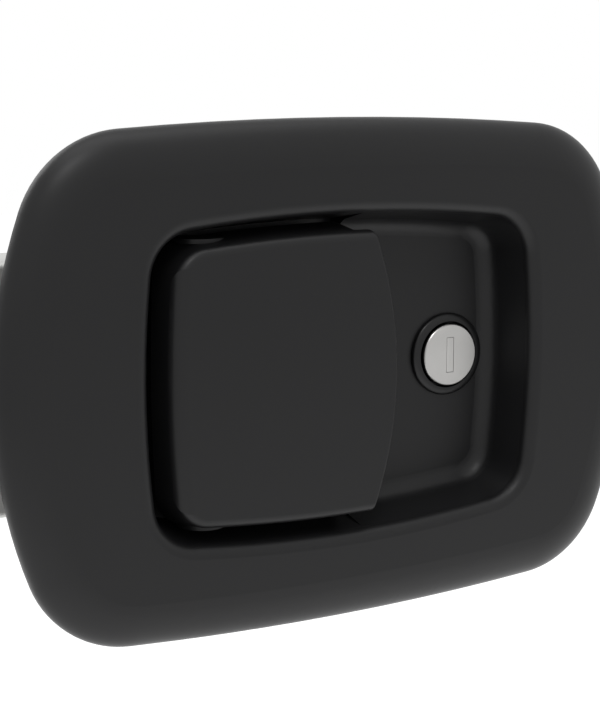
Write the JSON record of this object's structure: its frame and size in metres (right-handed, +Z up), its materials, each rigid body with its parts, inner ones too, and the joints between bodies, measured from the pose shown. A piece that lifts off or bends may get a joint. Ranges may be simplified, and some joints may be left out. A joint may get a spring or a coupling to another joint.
{
  "type": "paddle latch",
  "caption": "Flush door latch: a barrel-shaped black escutcheon with a hinged pull paddle, a finger recess with a key lock, and a spring-loaded slam bolt in a steel case behind.",
  "frame": {"origin": "centre of the flange's rear face, which rests on the outside of the door, in the middle of the four studs", "axes": "+X to the right seen from outside the door, away from the bolt; +Y into the door; +Z up"},
  "size_m": [0.1858, 0.0392, 0.1096],
  "materials": {
    "black_pan": "satin black moulded glass-filled nylon",
    "black_paddle": "satin black moulded glass-filled nylon",
    "gasket_rubber": "black closed-cell foam rubber",
    "black_nylon": "self-lubricating black nylon",
    "steel_pin": "turned stainless steel",
    "spring_steel": "drawn spring wire",
    "zinc_plated_steel": "clear zinc plate, light grey",
    "cast_bolt": "die-cast zinc, tumbled",
    "black_lock": "black coated zinc, semi-gloss",
    "satin_plug": "satin nickel plate"
  },
  "bodies": {
    "pan": {"escutcheon_pan": "black_pan", "flange_gasket": "gasket_rubber", "hinge_washer_upper": "black_nylon", "hinge_washer_lower": "black_nylon", "paddle_spring": "spring_steel", "latch_case": "zinc_plated_steel", "case_cover": "zinc_plated_steel", "bolt_guide": "black_nylon", "guide_rod": "steel_pin", "bolt_spring": "spring_steel", "lock_body": "black_lock", "lock_nut": "steel_pin", "case_screw_1": "zinc_plated_steel", "case_spacer_1": "zinc_plated_steel", "case_screw_2": "zinc_plated_steel", "case_spacer_2": "zinc_plated_steel", "case_screw_3": "zinc_plated_steel", "case_spacer_3": "zinc_plated_steel", "case_screw_4": "zinc_plated_steel", "case_spacer_4": "zinc_plated_steel", "mounting_stud_1": "zinc_plated_steel", "mounting_stud_2": "zinc_plated_steel", "mounting_stud_3": "zinc_plated_steel", "mounting_stud_4": "zinc_plated_steel"},
    "paddle": {"paddle": "black_paddle", "hinge_pin": "steel_pin"},
    "bolt": {"slam_bolt": "cast_bolt", "bolt_carriage": "zinc_plated_steel", "carriage_rivet_1": "steel_pin", "carriage_rivet_2": "steel_pin"},
    "plug": {"lock_plug": "satin_plug", "lock_cam": "zinc_plated_steel", "cam_washer": "zinc_plated_steel", "cam_screw": "zinc_plated_steel"},
    "shutter": {"key_shutter": "satin_plug"}
  },
  "joints": [
    {"name": "paddle_hinge", "type": "hinge", "parent": "pan", "child": "paddle", "pos_m": [-0.0322, 0.003, 0], "axis": [0, 0, -1], "range_deg": [0, 38], "stiffness_Nm_per_rad": 0.12, "springref_deg": -28.65, "deforming": ["paddle_spring"]},
    {"name": "bolt_slide", "type": "slide", "parent": "pan", "child": "bolt", "axis": [1, 0, 0], "range_m": [0, 0.01108], "stiffness_N_per_m": 300, "springref_m": -0.012, "deforming": ["bolt_spring"]},
    {"name": "key_turn", "type": "hinge", "parent": "pan", "child": "plug", "pos_m": [0.0333, 0.0054, 0], "axis": [0, 1, 0], "range_deg": [0, 90]},
    {"name": "shutter_swing", "type": "hinge", "parent": "plug", "child": "shutter", "pos_m": [0.0327, 0.00572, 0], "axis": [0, 0, 1], "range_deg": [0, 80], "stiffness_Nm_per_rad": 0.0005, "springref_deg": -17.19}
  ],
  "couplings": [
    {"joint": "paddle_hinge", "follows": "bolt_slide", "rad_per_m": 59.857}
  ]
}
